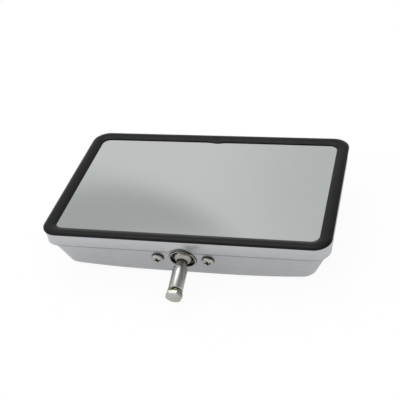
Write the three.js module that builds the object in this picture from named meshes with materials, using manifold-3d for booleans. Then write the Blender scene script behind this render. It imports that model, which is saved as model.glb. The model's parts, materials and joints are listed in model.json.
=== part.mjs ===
// Rectangular swivel mirror head: a deep-drawn stainless housing, a rubber glazing gasket,
// the mirror glass, and a ball stud clamped in a socket in the middle of the near long wall.
// Millimetres. +X runs along the long side, +Y away from the stud, +Z out of the glass.
// The origin is the middle of the small flat on the crowned back, which the head lies on.

import * as THREE from 'three';
import { mergeVertices } from 'three/addons/utils/BufferGeometryUtils.js';
import Module from 'manifold-3d';

const wasm = await Module();
wasm.setup();

// Driving dimensions: face and gasket
const faceLength = 254;
const faceWidth = 163.6;
const faceCornerRadius = 15.2;
const sightCornerRadius = 7.5;
const gasketCover = 10.7;
const gasketCrestHeight = 2.4;
const gasketShoulderShare = 0.2;
const gasketCrestShare = 0.6;
const gasketLipThickness = 0.5;
const gasketRim = 0.6;
const gasketWeb = 1.5;
const gasketLowerLip = 1.7;
const gasketLowerLipReach = 3.6;
const glassOverlap = 4.4;
const jointGap = 0.4;
const jointBulge = 1.5;
const jointBulgeSpread = 5.5;

// Driving dimensions: glass
const glassThickness = 3;
const glassCrown = 0.8;
const padThickness = 2;
const padMargin = 0.8;

// Driving dimensions: housing
const sheet = 0.8;
const headDepth = 46.8;
const bandInset = 1.3;
const bandHeight = 11.8;
const stepHeight = 1.0;
const stepInset = 1.3;
const rimBendRadius = 1.6;
const longWallTaper = 0.287;
const endWallTaper = 0.444;
const wallCornerRadius = 17;
const baseFilletRadius = 8;
const baseCornerRadius = 9;
const backFlatHalfLength = 30;
const backFlatHalfWidth = 20;
const backFlatCorner = 6;
const backBow = 6.0;
const backDome = 2.0;

// Driving dimensions: ball stud and its bolt
const socketDepth = 21.7;
const ballRadius = 9.525;
const ballInset = 5.4;
const neckRadius = 4.8;
const postStandoff = 9.6;
const postRadius = 6.35;
const postLength = 22;
const postChamfer = 0.6;
const boltRadius = 3.95;
const boltHoleDepth = 17;
const boltShankLength = 15;
const hexCornerChamfer = 0.2;
const boltHeadAcrossFlats = 12.7;
const boltHeadHeight = 5;
const lockWasherThickness = 1.5;
const lockWasherRise = 0.7;
const lockWasherOuterRadius = 6.4;
const lockWasherSplitDegrees = 14;

// Driving dimensions: socket and clamp
const ringWall = 1.1;
const ringProud = 1;
const ringNoseChamfer = 0.4;
const ringRecessDepth = 2.8;
const ringLipLength = 2.1;
const ringFlangeRadius = 14.1;
const ringFlangeThickness = 1.5;
const ringSkirtLength = 2.4;
const bushWall = 0.7;
const cupWall = 1.2;
const cupRimWall = 0.8;
const cupSpigotRadius = 5;
const springThickness = 0.7;
const springHeight = 0.8;
const springRadius = 8.4;
const bracketThickness = 2;
const bracketHalfLength = 30;
const bracketRise = 13.5;
const footLength = 15;
const clampThickness = 2.5;
const clampHalfLength = 29;
const clampHalfHeight = 9.5;
const screwSpacing = 44.6;
const screwRadius = 2.4;
const screwHeadRadius = 5.25;
const screwHeadHeight = 3.2;
const screwHeadSideShare = 0.35;
const screwTail = 1.5;
const recessSpan = 5;
const recessWidth = 1.1;
const recessDepth = 1.7;
const washerThickness = 1;
const washerRadius = 5;
const nutAcrossFlats = 8;
const nutThickness = 4;

// Clearances, and how far a cutting shape runs past the face that it cuts
const seatGap = 0.3;
const threadGap = 0.25;
const runningGap = 0.3;
const overshoot = 1;

// Facets
const cornerSteps = 5;
const bendSteps = 3;
const roundSides = 32;
const smallSides = 20;
const ballSteps = 11;
const cupSteps = 7;
const bushSteps = 5;
const lipSteps = 3;
const crestSteps = 8;
const headSteps = 3;
const washerSteps = 22;

// Levels and sizes that follow
const glassTop = headDepth;
const stepBottom = glassTop - bandHeight - stepHeight;
const wallDrop = stepBottom - backDome;
const halfLength = faceLength / 2;
const halfWidth = faceWidth / 2;
const wallLean = Math.atan(longWallTaper);
const bandCornerRadius = radiusAtInset(bandInset);
const glassInset = gasketCover - glassOverlap;
const webInner = glassInset - seatGap;
const webOuter = webInner - gasketWeb;
const rimFlange = webOuter - seatGap - bandInset;

// Materials
const stainless = finish('#b4b6b9', 0.2, 0.95);
const rubber = finish('#232323', 0.62, 0);
const mirrorGlass = finish('#a9adac', 0.06, 0.9);
const foam = finish('#3a3a3c', 0.95, 0);
const zincSteel = finish('#c2c0b6', 0.32, 0.9);
const turnedSteel = finish('#bdbdb8', 0.25, 0.95);
const pressedSteel = finish('#8d9094', 0.5, 0.85);
const springSteel = finish('#6f7276', 0.4, 0.9);
const nylon = finish('#d9d6c8', 0.6, 0);

const head = new THREE.Group();
const swivel = new THREE.Group();
head.add(swivel);

function finish(color, roughness, metalness) {
  return new THREE.MeshStandardMaterial({ color, roughness, metalness });
}

function addPiece(group, name, geometry, material) {
  const mesh = new THREE.Mesh(geometry, material);
  mesh.name = name;
  group.add(mesh);
  return mesh;
}

function mix(from, to, share) {
  return from + (to - from) * share;
}

// Corner radius of the face outline at a distance in from its edge
function radiusAtInset(inset) {
  const shrink = (faceCornerRadius - sightCornerRadius) / gasketCover;
  return faceCornerRadius - shrink * inset;
}

// A closed mesh as a solid, with shared vertices merged and needle-thin faces left out
function solidOf(geometry) {
  const bare = new THREE.BufferGeometry();
  bare.setAttribute('position', geometry.getAttribute('position').clone());
  if (geometry.index) bare.setIndex(geometry.index.clone());
  const merged = mergeVertices(bare, 1e-4);
  const index = merged.index.array;
  const kept = [];
  for (let i = 0; i < index.length; i += 3) {
    const [a, b, c] = [index[i], index[i + 1], index[i + 2]];
    if (a !== b && b !== c && c !== a) kept.push(a, b, c);
  }
  return new wasm.Manifold(new wasm.Mesh({
    numProp: 3,
    vertProperties: Float32Array.from(merged.getAttribute('position').array),
    triVerts: Uint32Array.from(kept),
  }));
}

function geometryOf(solid) {
  const mesh = solid.getMesh();
  const geometry = new THREE.BufferGeometry();
  geometry.setAttribute('position', new THREE.BufferAttribute(mesh.vertProperties, 3));
  geometry.setIndex(new THREE.BufferAttribute(mesh.triVerts, 1));
  const flat = geometry.toNonIndexed();
  flat.computeVertexNormals();
  return flat;
}

function cut(base, ...tools) {
  return geometryOf(tools.reduce((left, tool) => left.subtract(solidOf(tool)), solidOf(base)));
}

function joined(base, ...others) {
  return geometryOf(others.reduce((sum, other) => sum.add(solidOf(other)), solidOf(base)));
}

// A turned piece: profile points are [radius, height along the Y axis]
function turned(profile, sides = roundSides) {
  const points = profile.map(([radius, height]) => new THREE.Vector2(radius, height));
  return new THREE.LatheGeometry(points, sides);
}

// Points on a sphere about the origin, from one height to another, for a turned profile
function sphereArc(radius, fromHeight, toHeight, steps) {
  const fromAngle = Math.asin(fromHeight / radius);
  const toAngle = Math.asin(toHeight / radius);
  const points = [];
  for (let i = 0; i <= steps; i += 1) {
    const angle = mix(fromAngle, toAngle, i / steps);
    points.push([radius * Math.cos(angle), radius * Math.sin(angle)]);
  }
  return points;
}

// A bar along Y with the section of a shape drawn in the XZ plane
function barAlongY(shape, fromHeight, toHeight) {
  const bar = new THREE.ExtrudeGeometry(shape, { depth: toHeight - fromHeight, bevelEnabled: false });
  bar.rotateX(-Math.PI / 2);
  bar.translate(0, fromHeight, 0);
  return bar;
}

function hexShape(acrossFlats) {
  const corner = acrossFlats / Math.sqrt(3);
  const shape = new THREE.Shape();
  for (let i = 0; i < 6; i += 1) {
    const angle = (Math.PI / 3) * i + Math.PI / 6;
    const point = [corner * Math.cos(angle), corner * Math.sin(angle)];
    if (i === 0) shape.moveTo(...point);
    else shape.lineTo(...point);
  }
  shape.closePath();
  return shape;
}

// A hexagon between two heights, its corners chamfered at one or both ends
function chamferedHex(acrossFlats, fromHeight, toHeight, chamferFrom, chamferTo) {
  const outside = acrossFlats / Math.sqrt(3) + overshoot;
  const flat = acrossFlats / 2 - hexCornerChamfer;
  const drop = (outside - flat) * Math.tan(Math.PI / 6);
  const profile = [[0, fromHeight]];
  if (chamferFrom) profile.push([flat, fromHeight], [outside, fromHeight + drop]);
  else profile.push([outside, fromHeight]);
  if (chamferTo) profile.push([outside, toHeight - drop], [flat, toHeight]);
  else profile.push([outside, toHeight]);
  profile.push([0, toHeight]);
  const envelope = solidOf(turned(profile));
  return geometryOf(solidOf(barAlongY(hexShape(acrossFlats), fromHeight, toHeight)).intersect(envelope));
}

// Stations round a rounded rectangle, counter-clockwise seen from +Z, starting at the far middle.
// Each ring of a loft has the same stations, so rings join point to point.
const farStations = [0.02, 0.05, 0.09, 0.3, 0.65];
const nearStations = [-0.7, -0.35, 0, 0.35, 0.7];
const endStations = [-0.5, 0, 0.5];

function roundedOutline(halfX, halfY, radius) {
  const runX = halfX - radius;
  const runY = halfY - radius;
  const points = [];
  const arc = (centreX, centreY, fromAngle) => {
    for (let i = 0; i <= cornerSteps; i += 1) {
      const angle = fromAngle + (Math.PI / 2) * (i / cornerSteps);
      points.push([centreX + radius * Math.cos(angle), centreY + radius * Math.sin(angle)]);
    }
  };
  farStations.forEach((share) => points.push([-share * runX, halfY]));
  arc(-runX, runY, Math.PI / 2);
  endStations.forEach((share) => points.push([-halfX, -share * runY]));
  arc(-runX, -runY, Math.PI);
  nearStations.forEach((share) => points.push([share * runX, -halfY]));
  arc(runX, -runY, -Math.PI / 2);
  endStations.forEach((share) => points.push([halfX, share * runY]));
  arc(runX, runY, 0);
  [...farStations].reverse().forEach((share) => points.push([share * runX, halfY]));
  return points;
}

// Faces between neighbouring rings; each ring is a list of [x, y, z]
function loftFaces(rings, closedRound) {
  const count = rings[0].length;
  const faces = [];
  const last = closedRound ? count : count - 1;
  for (let r = 0; r + 1 < rings.length; r += 1) {
    for (let i = 0; i < last; i += 1) {
      const j = (i + 1) % count;
      faces.push(rings[r][i], rings[r][j], rings[r + 1][j]);
      faces.push(rings[r][i], rings[r + 1][j], rings[r + 1][i]);
    }
  }
  return faces;
}

function fanFaces(ring, upward) {
  const middle = [0, 1, 2].map((axis) => ring.reduce((sum, p) => sum + p[axis], 0) / ring.length);
  const faces = [];
  for (let i = 0; i < ring.length; i += 1) {
    const j = (i + 1) % ring.length;
    if (upward) faces.push(middle, ring[i], ring[j]);
    else faces.push(middle, ring[j], ring[i]);
  }
  return faces;
}

function geometryOfFaces(faces) {
  const geometry = new THREE.BufferGeometry();
  geometry.setAttribute('position', new THREE.Float32BufferAttribute(faces.flat(), 3));
  geometry.computeVertexNormals();
  return geometry;
}

// A solid lofted through closed rings, its first ring closed from below and its last from above
function loftSolid(rings) {
  return geometryOfFaces([
    ...fanFaces(rings[0], false),
    ...loftFaces(rings, true),
    ...fanFaces(rings[rings.length - 1], true),
  ]);
}

// Housing: the bow along the length and the dome of the back
function beyondFlat(distance, flat, reach) {
  return Math.max(0, Math.abs(distance) - flat) / (reach - flat);
}

function bowShare(x) {
  return beyondFlat(x, backFlatHalfLength, halfLength) ** 2;
}

// One wall section: inset from the foot of the step and drop below it, for an angle in the
// base fillet, on the outer skin or a sheet thickness inside it
function filletPoint(taper, turn, skin) {
  const lean = Math.atan(taper);
  const centreDrop = wallDrop - baseFilletRadius;
  const centreInset = taper * centreDrop + baseFilletRadius / Math.cos(lean);
  const angle = lean + (Math.PI / 2 - lean) * turn;
  const radius = baseFilletRadius - skin;
  return [centreInset - radius * Math.cos(angle), centreDrop + radius * Math.sin(angle)];
}

function wallRing(share, turn, skin) {
  const [endInset, endDrop] = wallPoint(endWallTaper, share, turn, skin);
  const [longInset, drop] = wallPoint(longWallTaper, share, turn, skin);
  const foot = bandInset + stepInset;
  const depthShare = Math.min(1, drop / wallDrop);
  const halfX = halfLength - foot - endInset;
  const halfY = halfWidth - foot - longInset;
  const radius = mix(wallCornerRadius, baseCornerRadius, depthShare) - skin;
  return roundedOutline(halfX, halfY, radius).map(([x, y]) => {
    const alongEnd = cornerShare(x, y, halfX, halfY, radius);
    const level = mix(drop, endDrop, alongEnd);
    return [x, y, stepBottom - level + (level / wallDrop) * backBow * bowShare(x)];
  });
}

function wallPoint(taper, share, turn, skin) {
  const lean = Math.atan(taper);
  const [inset, drop] = filletPoint(taper, turn, skin);
  const top = [skin / Math.cos(lean), 0];
  return [top[0] + (inset - top[0]) * share, drop * share];
}

// How far a point of a rounded rectangle lies from its long side towards its end, from 0 to 1
function cornerShare(x, y, halfX, halfY, radius) {
  const acrossX = Math.max(0, Math.abs(x) - (halfX - radius)) / radius;
  return acrossX * acrossX;
}

function backRing(share, skin) {
  const [endInset] = filletPoint(endWallTaper, 1, skin);
  const [longInset] = filletPoint(longWallTaper, 1, skin);
  const foot = bandInset + stepInset;
  const edgeX = halfLength - foot - endInset;
  const edgeY = halfWidth - foot - longInset;
  const halfX = mix(backFlatHalfLength, edgeX, share);
  const halfY = mix(backFlatHalfWidth, edgeY, share);
  const radius = mix(backFlatCorner, baseCornerRadius, share);
  return roundedOutline(halfX, halfY, radius).map(([x, y]) => {
    const domeX = 1 - beyondFlat(x, backFlatHalfLength, edgeX) ** 2;
    const domeY = 1 - beyondFlat(y, backFlatHalfWidth, edgeY) ** 2;
    return [x, y, backDome * (1 - domeX * domeY) + skin + backBow * bowShare(x)];
  });
}

// A level ring of the band, step or flange: distance in from the band's face, and height
function bandRing(inset, height, radius = bandCornerRadius - inset) {
  return roundedOutline(halfLength - bandInset - inset, halfWidth - bandInset - inset, radius)
    .map(([x, y]) => [x, y, height]);
}

// The step between wall and band: shares of its inset and of its height, from its foot up.
// It slopes, so the inner skin of the sheet lies a little higher than the outer one.
const stepProfile = [[1, 0], [0.7, 0.25], [0.2, 0.7], [0, 1]];
const stepSkinLift = sheet / 3;

function stepRing([insetShare, heightShare], skin, lift) {
  const radius = mix(bandCornerRadius, wallCornerRadius, insetShare) - skin;
  return bandRing(stepInset * insetShare + skin, stepBottom + stepHeight * heightShare + lift, radius);
}

// The bend of the band into the rim flange, about one centre for both skins
function rimBendRing(turn, skin) {
  const radius = rimBendRadius - skin;
  const angle = (Math.PI / 2) * turn;
  const level = glassTop - rimBendRadius + radius * Math.sin(angle);
  return bandRing(rimBendRadius - radius * Math.cos(angle), level);
}

// Rings of one skin of the drawn sheet, from the middle of the back up to the flange's edge
function skinRings(skin) {
  const backShares = [0, 0.3, 0.6, 0.85];
  const filletTurns = [1, 0.75, 0.5, 0.25, 0];
  const wallShares = [0.5, 0.04];
  const bendTurns = Array.from({ length: bendSteps + 1 }, (unused, i) => i / bendSteps);
  return [
    ...backShares.map((share) => backRing(share, skin)),
    ...filletTurns.map((turn) => wallRing(1, turn, skin)),
    ...wallShares.map((share) => wallRing(share, 0, skin)),
    ...stepProfile.slice(skin ? 1 : 0).map((point) => stepRing(point, skin, skin ? stepSkinLift : 0)),
    ...bendTurns.map((turn) => rimBendRing(turn, skin)),
    bandRing(rimFlange, glassTop - skin),
  ];
}

function housingGeometry() {
  return loftSolid([...skinRings(0), ...skinRings(sheet).reverse()]);
}

// Frame of the swivel: its origin is the ball centre and its +Y axis leaves the wall squarely
const socketDrop = stepBottom - (glassTop - socketDepth);
const wallFaceY = -(halfWidth - bandInset - stepInset - longWallTaper * socketDrop);
const outward = new THREE.Vector3(0, -Math.cos(wallLean), -Math.sin(wallLean));
swivel.position.set(0, wallFaceY, glassTop - socketDepth).addScaledVector(outward, -ballInset);
swivel.rotation.x = Math.PI + wallLean;
swivel.updateMatrix();

// Levels along the swivel axis, measured outwards from the ball centre
const wallInside = ballInset - sheet;
const bracketFace = wallInside - seatGap;
const bracketBack = bracketFace - bracketThickness;
const flangeFace = bracketBack - seatGap;
const flangeBack = flangeFace - ringFlangeThickness;
const noseFace = ballInset + ringProud;
const skirtBack = flangeBack - ringSkirtLength;
const lipFace = noseFace - ringRecessDepth;
const lipBack = lipFace - ringLipLength;
const bushFront = lipBack - seatGap;
const cupRim = skirtBack - seatGap;
const postRoot = ballInset + postStandoff;
const postEnd = postRoot + postLength;
const boltSeat = postEnd + seatGap + lockWasherThickness + lockWasherRise + seatGap;
const boltEnd = boltSeat + boltHeadHeight;
const cupBase = -(ballRadius + runningGap + cupWall);
const springTop = cupBase - seatGap;
const springBase = springTop - springThickness - springHeight;
const clampFace = springBase - seatGap;
const clampBack = clampFace - clampThickness;
const washerFace = clampBack - seatGap;
const nutFace = washerFace - washerThickness - seatGap;
const nutBack = nutFace - nutThickness;
const screwEnd = nutBack - screwTail;

// Radii that follow
const socketRadius = ballRadius + runningGap;
const boreRadius = socketRadius + bushWall + runningGap;
const sleeveRadius = boreRadius + ringWall;
const sleeveHoleRadius = sleeveRadius + seatGap;
const screwHoleRadius = screwRadius + seatGap;
const boltHoleRadius = boltRadius + threadGap;
const spigotHoleRadius = cupSpigotRadius + seatGap;

// Cylinders for the holes of the socket and of the two clamp screws, along the swivel axis
function socketHoles(radius, fromHeight, toHeight) {
  const holes = [barBetween(radius, fromHeight, toHeight, roundSides, 0)];
  [-1, 1].forEach((side) => {
    holes.push(barBetween(screwHoleRadius, fromHeight, toHeight, smallSides, side * screwSpacing / 2));
  });
  return holes;
}

function barBetween(radius, fromHeight, toHeight, sides, x) {
  const bar = turned([[0, fromHeight], [radius, fromHeight], [radius, toHeight], [0, toHeight]], sides);
  bar.translate(x, 0, 0);
  return bar;
}

function inSwivel(geometry) {
  return geometry.applyMatrix4(swivel.matrix);
}

// Housing with the round opening for the socket ring and the two screw holes in its near wall
function piercedHousing() {
  const clearOfWall = 3 * sheet;
  const holes = socketHoles(sleeveHoleRadius, wallInside - clearOfWall, ballInset + clearOfWall);
  return cut(housingGeometry(), ...holes.map(inSwivel));
}

// Gasket section: points are [inset from the face edge, height over the glass], outer foot first
function gasketSection() {
  const edgeHeight = seatGap + gasketRim;
  const lipHeight = seatGap + gasketLipThickness;
  // Halfway along, a cubic curve has 1/8 of each end point and 3/4 of its two control points
  const controlHeight = (gasketCrestHeight - (edgeHeight + lipHeight) / 8) / (3 / 4);
  const crest = new THREE.CubicBezierCurve(
    new THREE.Vector2(0, edgeHeight),
    new THREE.Vector2(gasketCover * gasketShoulderShare, controlHeight),
    new THREE.Vector2(gasketCover * gasketCrestShare, controlHeight),
    new THREE.Vector2(gasketCover, lipHeight),
  );
  const underGlass = -glassThickness - seatGap;
  const underside = underGlass - gasketLowerLip;
  const underFlange = -sheet - seatGap;
  const toeInset = bandInset + sheet + rimBendRadius / 2;
  return [
    [0, seatGap],
    ...crest.getPoints(crestSteps).map((point) => [point.x, point.y]),
    [gasketCover, seatGap],
    [webInner, seatGap],
    [webInner, underGlass],
    [webInner + gasketLowerLipReach, underGlass],
    [webInner + gasketLowerLipReach, underside],
    [toeInset + sheet, underside],
    [toeInset, underside + sheet],
    [toeInset, underFlange],
    [webOuter, underFlange],
    [webOuter, seatGap],
  ];
}

// The gasket is one strip run round the face, its cut ends meeting at the far middle
function gasketGeometry() {
  const section = gasketSection();
  const rings = section.map(([inset, height]) => {
    const halfX = halfLength - inset;
    const halfY = halfWidth - inset;
    const run = roundedOutline(halfX, halfY, radiusAtInset(inset));
    const strip = [[-jointGap / 2, halfY], ...run, [jointGap / 2, halfY]];
    const lipShare = height > 0 ? Math.max(0, (inset - glassInset) / glassOverlap) : 0;
    return strip.map(([x, y]) => {
      const bulge = y > 0 ? jointBulge * lipShare * Math.exp(-((x / jointBulgeSpread) ** 2)) : 0;
      return [x, y - bulge, glassTop + height];
    });
  });
  const faces = loftFaces([...rings, rings[0]], false);
  const outline = section.map(([inset, height]) => new THREE.Vector2(inset, height));
  THREE.ShapeUtils.triangulateShape(outline, []).forEach(([a, b, c]) => {
    const end = rings[0].length - 1;
    faces.push(rings[a][0], rings[c][0], rings[b][0]);
    faces.push(rings[a][end], rings[b][end], rings[c][end]);
  });
  return geometryOfFaces(faces);
}

// A crowned sheet that fills the face up to an inset: the glass, and the pad behind it
function crownedSheet(inset, topLevel, thickness) {
  const halfX = halfLength - inset;
  const halfY = halfWidth - inset;
  const ringAt = (share, level) => {
    const radius = radiusAtInset(inset) * share;
    return roundedOutline(halfX * share, halfY * share, radius).map(([x, y]) => {
      const crown = glassCrown * (1 - (x / halfX) ** 2) * (1 - (y / halfY) ** 2);
      return [x, y, level + crown];
    });
  };
  const shares = [0.1, 0.4, 0.7, 0.9, 1];
  return loftSolid([
    ...shares.map((share) => ringAt(share, topLevel - thickness)),
    ...[...shares].reverse().map((share) => ringAt(share, topLevel)),
  ]);
}

// Sleeve round the ball: a flange behind the wall, a recessed nose, and a lip that holds the ball in
function socketRing() {
  return turned([
    [boreRadius, skirtBack],
    [sleeveRadius, skirtBack],
    [sleeveRadius, flangeBack],
    [ringFlangeRadius, flangeBack],
    [ringFlangeRadius, flangeFace],
    [sleeveRadius, flangeFace],
    [sleeveRadius, noseFace - ringNoseChamfer],
    [sleeveRadius - ringNoseChamfer, noseFace],
    [boreRadius, noseFace],
    [boreRadius, lipFace],
    ...sphereArc(socketRadius, lipFace, lipBack, lipSteps),
    [boreRadius, lipBack],
    [boreRadius, skirtBack],
  ]);
}

function seatBush() {
  const outside = boreRadius - runningGap;
  return turned([
    [outside, skirtBack],
    [outside, bushFront],
    ...sphereArc(socketRadius, bushFront, skirtBack, bushSteps),
    [outside, skirtBack],
  ]);
}

// Ball, neck and smooth post turned from one bar, tapped in its end for the mounting bolt
function ballStud() {
  const neckTop = Math.sqrt(ballRadius ** 2 - neckRadius ** 2);
  const holeEnd = postEnd - boltHoleDepth;
  return turned([
    ...sphereArc(ballRadius, -ballRadius, neckTop, ballSteps),
    [neckRadius, postRoot],
    [postRadius - postChamfer, postRoot],
    [postRadius, postRoot + postChamfer],
    [postRadius, postEnd - postChamfer],
    [postRadius - postChamfer, postEnd],
    [boltHoleRadius, postEnd],
    [boltHoleRadius, holeEnd],
    [0, holeEnd - boltHoleRadius / 2],
  ]);
}

// Split spring washer: a square section wound once round, its end lifted by the rise
function lockWasher() {
  const split = THREE.MathUtils.degToRad(lockWasherSplitDegrees);
  const rings = [];
  for (let i = 0; i <= washerSteps; i += 1) {
    const share = i / washerSteps;
    const angle = split / 2 + (2 * Math.PI - split) * share;
    const base = postEnd + seatGap + lockWasherRise * share;
    const corner = (radius, height) => [radius * Math.sin(angle), height, radius * Math.cos(angle)];
    rings.push([
      corner(boltHoleRadius, base),
      corner(boltHoleRadius, base + lockWasherThickness),
      corner(lockWasherOuterRadius, base + lockWasherThickness),
      corner(lockWasherOuterRadius, base),
    ]);
  }
  return loftSolid(rings);
}

// Hexagonal bolt, turned so that one flat faces up the wall
function mountBolt() {
  const headHex = chamferedHex(boltHeadAcrossFlats, boltSeat, boltEnd, false, true);
  headHex.rotateY(Math.PI / 6);
  const insideHead = boltSeat + boltHeadHeight / 2;
  const shank = barBetween(boltRadius, boltSeat - boltShankLength, insideHead, roundSides, 0);
  return joined(headHex, shank);
}

// Cup behind the ball, its spigot guided by the clamp plate
function ballCup() {
  const cupRadius = Math.sqrt(socketRadius ** 2 - cupRim ** 2) + cupRimWall;
  return turned([
    [0, -socketRadius],
    ...sphereArc(socketRadius, -socketRadius, cupRim, cupSteps).slice(1),
    [cupRadius, cupRim],
    [cupRadius, cupBase + cupWall],
    [cupRadius - cupWall / 2, cupBase],
    [cupSpigotRadius, cupBase],
    [cupSpigotRadius, clampBack + seatGap],
    [0, clampBack + seatGap],
  ].reverse());
}

function discSpring() {
  return turned([
    [spigotHoleRadius, springTop - springThickness],
    [springRadius, springBase],
    [springRadius, springBase + springThickness],
    [spigotHoleRadius, springTop],
    [spigotHoleRadius, springTop - springThickness],
  ]);
}

// Clamp plate: a bar with round ends, drilled for the cup's spigot and the two screws
function clampPlate() {
  const run = clampHalfLength - clampHalfHeight;
  const shape = new THREE.Shape();
  shape.absarc(run, 0, clampHalfHeight, -Math.PI / 2, Math.PI / 2, false);
  shape.absarc(-run, 0, clampHalfHeight, Math.PI / 2, Math.PI * 1.5, false);
  const plate = new THREE.ExtrudeGeometry(shape, {
    depth: clampThickness, bevelEnabled: false, curveSegments: 10,
  });
  plate.rotateX(-Math.PI / 2);
  plate.translate(0, clampBack, 0);
  const holes = socketHoles(spigotHoleRadius, clampBack - overshoot, clampFace + overshoot);
  return cut(plate, ...holes);
}

// Pan head screw with a cross recess, its shank running back through the nut
function clampScrew() {
  const under = ballInset + seatGap;
  const top = under + screwHeadHeight;
  const crownFoot = under + screwHeadHeight * screwHeadSideShare;
  const profile = [[0, screwEnd], [screwRadius, screwEnd], [screwRadius, under], [screwHeadRadius, under]];
  for (let i = 0; i < headSteps; i += 1) {
    const angle = (Math.PI / 2) * (i / headSteps);
    profile.push([screwHeadRadius * Math.cos(angle), crownFoot + (top - crownFoot) * Math.sin(angle)]);
  }
  profile.push([0, top]);
  const screw = turned(profile, smallSides);
  const bars = [0, 1].map((turn) => {
    const wing = new THREE.BoxGeometry(recessSpan, recessDepth * 2, recessWidth);
    wing.rotateY(turn * Math.PI / 2);
    wing.translate(0, top, 0);
    return wing;
  });
  return cut(screw, ...bars);
}

function plainWasher() {
  return turned([
    [screwHoleRadius, washerFace - washerThickness],
    [washerRadius, washerFace - washerThickness],
    [washerRadius, washerFace],
    [screwHoleRadius, washerFace],
    [screwHoleRadius, washerFace - washerThickness],
  ], smallSides);
}

function hexNut() {
  const hex = chamferedHex(nutAcrossFlats, nutBack, nutFace, true, false);
  const hole = barBetween(screwRadius + threadGap, nutBack - overshoot, nutFace + overshoot, smallSides, 0);
  return cut(hex, hole);
}

// Angle bracket inside the near wall: an upright leg behind the wall and a foot on the back.
// Its bend is concentric with the housing's base fillet.
function socketBracket() {
  const footing = halfWidth - bandInset - stepInset;
  const inset = sheet + seatGap + bracketThickness / 2;
  const onWall = (drop) => new THREE.Vector2(
    -(footing - longWallTaper * drop) + inset * Math.cos(wallLean),
    stepBottom - drop + inset * Math.sin(wallLean),
  );
  const [filletInset] = filletPoint(longWallTaper, 1, 0);
  const edgeY = footing - filletInset;
  const backLevel = (y) => backDome * beyondFlat(y, backFlatHalfWidth, edgeY) ** 2;
  const heel = new THREE.Vector2(-edgeY, backLevel(edgeY) + inset);
  const toe = new THREE.Vector2(-edgeY + footLength, backLevel(edgeY - footLength) + inset);
  const legTop = onWall(socketDrop - bracketRise * Math.cos(wallLean));
  const legFoot = onWall(wallDrop);
  const path = filletedPath(legTop, legFoot, heel, toe, baseFilletRadius - inset);
  const shape = new THREE.Shape(thickenedPath(path, bracketThickness));
  const angle = new THREE.ExtrudeGeometry(shape, { depth: 2 * bracketHalfLength, bevelEnabled: false });
  angle.applyMatrix4(new THREE.Matrix4().makeBasis(
    new THREE.Vector3(0, 1, 0),
    new THREE.Vector3(0, 0, 1),
    new THREE.Vector3(1, 0, 0),
  ));
  angle.translate(-bracketHalfLength, 0, 0);
  const clearOfLeg = 2 * overshoot;
  const holes = socketHoles(sleeveHoleRadius, bracketBack - clearOfLeg, bracketFace + clearOfLeg);
  return cut(angle, ...holes.map(inSwivel));
}

// Two straight legs joined by an arc of the given radius, as points along the path
function filletedPath(start, startAim, endAim, end, radius) {
  const into = startAim.clone().sub(start).normalize();
  const away = end.clone().sub(endAim).normalize();
  const cross = into.x * away.y - into.y * away.x;
  const gap = endAim.clone().sub(start);
  const reach = (gap.x * away.y - gap.y * away.x) / cross;
  const corner = start.clone().addScaledVector(into, reach);
  const turn = Math.acos(into.dot(away));
  const setback = radius * Math.tan(turn / 2);
  const side = Math.sign(cross);
  const first = corner.clone().addScaledVector(into, -setback);
  const centre = first.clone().add(new THREE.Vector2(-into.y, into.x).multiplyScalar(side * radius));
  const path = [start];
  for (let i = 0; i <= cornerSteps; i += 1) {
    path.push(first.clone().rotateAround(centre, (side * turn * i) / cornerSteps));
  }
  path.push(end);
  return path;
}

function thickenedPath(path, thickness) {
  const normals = path.map((point, i) => {
    const before = path[Math.max(0, i - 1)];
    const after = path[Math.min(path.length - 1, i + 1)];
    const along = after.clone().sub(before).normalize();
    return new THREE.Vector2(-along.y, along.x).multiplyScalar(thickness / 2);
  });
  const left = path.map((point, i) => point.clone().add(normals[i]));
  const right = path.map((point, i) => point.clone().sub(normals[i])).reverse();
  return [...left, ...right];
}

// Assembly
const padInset = webInner + gasketLowerLipReach + padMargin;
const padTop = glassTop - glassThickness - seatGap;

addPiece(head, 'housing', piercedHousing(), stainless);
addPiece(head, 'rim_gasket', gasketGeometry(), rubber);
addPiece(head, 'mirror_glass', crownedSheet(glassInset, glassTop, glassThickness), mirrorGlass);
addPiece(head, 'backing_pad', crownedSheet(padInset, padTop, padThickness), foam);
addPiece(head, 'socket_bracket', socketBracket(), pressedSteel);
addPiece(swivel, 'socket_ring', geometryOf(solidOf(socketRing())), turnedSteel);
addPiece(swivel, 'seat_bush', geometryOf(solidOf(seatBush())), nylon);
addPiece(swivel, 'ball_stud', ballStud(), turnedSteel);
addPiece(swivel, 'lock_washer', lockWasher(), zincSteel);
addPiece(swivel, 'mount_bolt', mountBolt(), zincSteel);
addPiece(swivel, 'ball_cup', geometryOf(solidOf(ballCup())), pressedSteel);
addPiece(swivel, 'disc_spring', geometryOf(solidOf(discSpring())), springSteel);
addPiece(swivel, 'clamp_plate', clampPlate(), pressedSteel);

[['left', -1], ['right', 1]].forEach(([side, sign]) => {
  const x = sign * screwSpacing / 2;
  addPiece(swivel, `clamp_screw_${side}`, clampScrew(), zincSteel).position.x = x;
  addPiece(swivel, `screw_washer_${side}`, geometryOf(solidOf(plainWasher())), zincSteel).position.x = x;
  addPiece(swivel, `screw_nut_${side}`, hexNut(), zincSteel).position.x = x;
});

export default head;
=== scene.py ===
import math

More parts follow.
